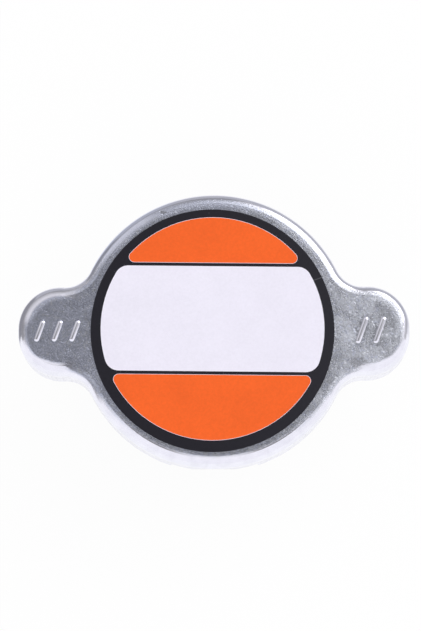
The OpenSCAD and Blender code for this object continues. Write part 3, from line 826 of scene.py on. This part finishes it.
class CAP_OT_metal(bpy.types.Operator):
    """Finish the rivet, the spring disc, the bell and the valve's metal pieces"""

    bl_idname = "cap.metal"
    bl_label = "Valve metal"

    def execute(self, context):
        colours = context.scene.cap_colours
        plate = finish("plated_steel", plated_steel, colours.plate)
        wear([NODES["centre_rivet"], NODES["spring_cup"], NODES["valve_plate"]], plate)
        wear([NODES["spring_disc"]], finish("spring_strip", plated_steel, colours.disc))
        wear([NODES["valve_bell"]], finish("bell_metal", plated_steel, colours.bell))
        brass = finish("turned_brass", turned_brass, colours.brass)
        wear([NODES["vacuum_valve"], NODES["vacuum_washer"]], brass)
        return {"FINISHED"}


class CAP_OT_rubber(bpy.types.Operator):
    """Finish the top gasket and the valve seal in moulded rubber"""

    bl_idname = "cap.rubber"
    bl_label = "Rubber"

    def execute(self, context):
        colours = context.scene.cap_colours
        wear([NODES["top_gasket"]], finish("gasket_rubber", moulded_rubber, colours.gasket))
        wear([NODES["valve_seal"]], finish("seal_rubber", moulded_rubber, colours.seal))
        return {"FINISHED"}


class CAP_OT_stage(bpy.types.Operator):
    """Set the pale floor, the soft studio light and the camera"""

    bl_idname = "cap.stage"
    bl_label = "Stage"

    def execute(self, context):
        scene = context.scene
        studio = scene.cap_studio
        scene.view_settings.view_transform = "Standard"
        self.lay_floor()
        self.paint_dome(scene, studio.dome)
        for name, softbox in SOFTBOXES.items():
            self.hang_lamp(name, *softbox)
        self.aim_camera(scene, studio)
        return {"FINISHED"}

    def lay_floor(self):
        """A plain floor just under the cap."""
        bare_scene()
        bpy.ops.mesh.primitive_plane_add(size=FLOOR_SIZE, location=(0.0, 0.0, -FLOOR_DROP))
        floor = bpy.context.object
        floor.name = "floor"
        wear([floor], self.floor_paint())

    def floor_paint(self):
        """Glows white, and is clear from below. Metal sees it grey behind the cap and dark to its left."""
        material = bpy.data.materials.new("floor")
        material.use_nodes = True
        tree = material.node_tree
        path = tree.nodes.new("ShaderNodeLightPath").outputs
        camera, glossy, clear = (Wire(path[name]) for name in (
            "Is Camera Ray", "Is Glossy Ray", "Is Transmission Ray"))
        x, y, _ = Wire(tree.nodes.new("ShaderNodeTexCoord").outputs["Object"]).split()
        away = plan_radius(x, y).rise(0.042, 0.066)
        beside = y.rise(-0.012, 0.002)
        grey = away * y.rise(-0.01, 0.03).larger(x.rise(0.0, -0.03) * beside * 1.3)
        dark = away * (x + y * 0.8).rise(-0.012, -0.032) * beside
        shade = (glossy * grey).blend(WHITE, FLOOR_GREY)
        shade = (glossy * dark).blend(shade, FLOOR_DARK)
        seen = camera.larger(glossy).larger(clear)
        paint = seen.node("BsdfDiffuse", None, {"Color": opaque(FLOOR_PAINT)})
        glow = seen.node("Emission", None, {"Color": shade, "Strength": 1.0})
        upper = seen.node("MixShader", None, {0: seen * 0.95, 1: paint, 2: glow})
        below = seen.node("NewGeometry", output="Backfacing")
        both = seen.node("MixShader", None, {0: below, 1: upper, 2: seen.node("BsdfTransparent")})
        tree.links.new(both.socket, tree.nodes["Material Output"].inputs["Surface"])
        return material

    def paint_dome(self, scene, strength):
        """Walls of the studio: a white front, a bright far right corner, and dark where the lens looks in."""
        world = bpy.data.worlds.new("studio")
        world.use_nodes = True
        scene.world = world
        tree = world.node_tree
        tree.nodes.clear()
        seen = Wire(tree.nodes.new("ShaderNodeLightPath").outputs["Is Camera Ray"])
        way = Wire(tree.nodes.new("ShaderNodeTexCoord").outputs["Generated"])
        x, y, z = way.split()
        front = (-y).rise(0.08, 0.26)
        corner = way.towards((0.62, 0.60, 0.50)).rise(0.70, 0.93)
        lens = way.towards((0.02, -0.10, 0.99)).rise(0.985, 0.997)
        overhead = z.rise(0.90, 0.985) * x.rise(0.22, -0.12)
        low_back = z.rise(0.45, 0.05) * y.rise(-0.05, 0.35)
        left_back = way.towards((-0.46, 0.67, 0.58)).rise(0.78, 0.96)
        left = way.towards((-0.92, -0.05, 0.38)).rise(0.88, 0.98)
        level = 0.50 + front * 0.47 + corner * 0.8 - low_back * 0.18 + left_back * 0.24 - left * 0.15
        level = level * (1.0 - lens * 0.85) * (1.0 - overhead * 0.55)
        # A blend's factor ends at 1, so the walls are painted at half their level and lit twice as strongly
        walls = (level / 2.0).blend((0.0, 0.0, 0.0), DOME_TINT)
        dome = seen.node("Background", None, {"Color": walls, "Strength": 2.0 * strength})
        white = seen.node("Background", None, {"Color": opaque(WHITE), "Strength": 1.0})
        mixed = seen.node("MixShader", None, {0: seen, 1: dome, 2: white})
        tree.links.new(mixed.socket, tree.nodes.new("ShaderNodeOutputWorld").inputs["Surface"])

    def hang_lamp(self, name, place, size, radiance, mirrored):
        """A softbox that faces the cap."""
        light = bpy.data.lights.new(name, "AREA")
        light.shape = "RECTANGLE"
        light.size, light.size_y = size
        light.energy = radiance * math.pi * size[0] * size[1]
        lamp = bpy.data.objects.new(name, light)
        lamp.location = place
        lamp.rotation_euler = (LAMP_TARGET - lamp.location).to_track_quat("-Z", "Y").to_euler()
        lamp.visible_camera = False
        lamp.visible_glossy = mirrored
        bpy.context.scene.collection.objects.link(lamp)

    def aim_camera(self, scene, studio):
        """The camera over the cap, set by the picture's size, middle and scale."""
        camera = bpy.data.cameras.new("camera")
        camera.sensor_width = 36.0
        camera.lens = camera.sensor_width * studio.scale * studio.distance / MM / PICTURE_TALL
        camera.shift_x = (PICTURE_WIDE / 2 - PICTURE_MIDDLE[0]) / PICTURE_TALL
        camera.shift_y = (PICTURE_MIDDLE[1] - PICTURE_TALL / 2) / PICTURE_TALL
        camera.clip_start, camera.clip_end = 0.01, 20.0
        turn = (Matrix.Rotation(studio.roll, 4, "Z") @ Matrix.Rotation(-studio.lean, 4, "Y")
                @ Matrix.Rotation(-studio.tilt, 4, "X"))
        target = Vector((0.0, 0.0, LABEL_LOW.z))
        holder = bpy.data.objects.new("camera", camera)
        holder.matrix_world = (Matrix.Translation(target) @ turn.inverted()
                               @ Matrix.Translation((0.0, 0.0, studio.distance)))
        scene.collection.objects.link(holder)
        scene.camera = holder


class CAP_PT_panel(bpy.types.Panel):
    """Lists the cap's pieces and its studio"""

    bl_idname = "CAP_PT_panel"
    bl_label = "Radiator Cap"
    bl_space_type = "VIEW_3D"
    bl_region_type = "UI"
    bl_category = "Cap"

    def draw(self, context):
        for operator in OPERATORS:
            self.layout.operator(operator.bl_idname)
        for group in GROUPS:
            settings = getattr(context.scene, group)
            column = self.layout.column(align=True)
            for name in settings.__annotations__:
                column.prop(settings, name)


GROUPS = {
    "cap_colours": CapColours,
    "cap_springs": CapSprings,
    "cap_print": CapPrint,
    "cap_studio": CapStudio,
}
OPERATORS = (CAP_OT_shell, CAP_OT_label, CAP_OT_springs, CAP_OT_metal, CAP_OT_rubber, CAP_OT_stage)


def register():
    for kind in (*GROUPS.values(), *OPERATORS, CAP_PT_panel):
        bpy.utils.register_class(kind)
    for name, group in GROUPS.items():
        setattr(bpy.types.Scene, name, bpy.props.PointerProperty(type=group))


def unregister():
    for name in GROUPS:
        delattr(bpy.types.Scene, name)
    for kind in (CAP_PT_panel, *reversed(OPERATORS), *reversed(list(GROUPS.values()))):
        bpy.utils.unregister_class(kind)


def main():
    register()
    bare_scene()
    bpy.ops.cap.shell()
    bpy.ops.cap.label()
    bpy.ops.cap.springs()
    bpy.ops.cap.metal()
    bpy.ops.cap.rubber()
    bpy.ops.cap.stage()
    bare_scene()


if __name__ == "__main__":
    main()
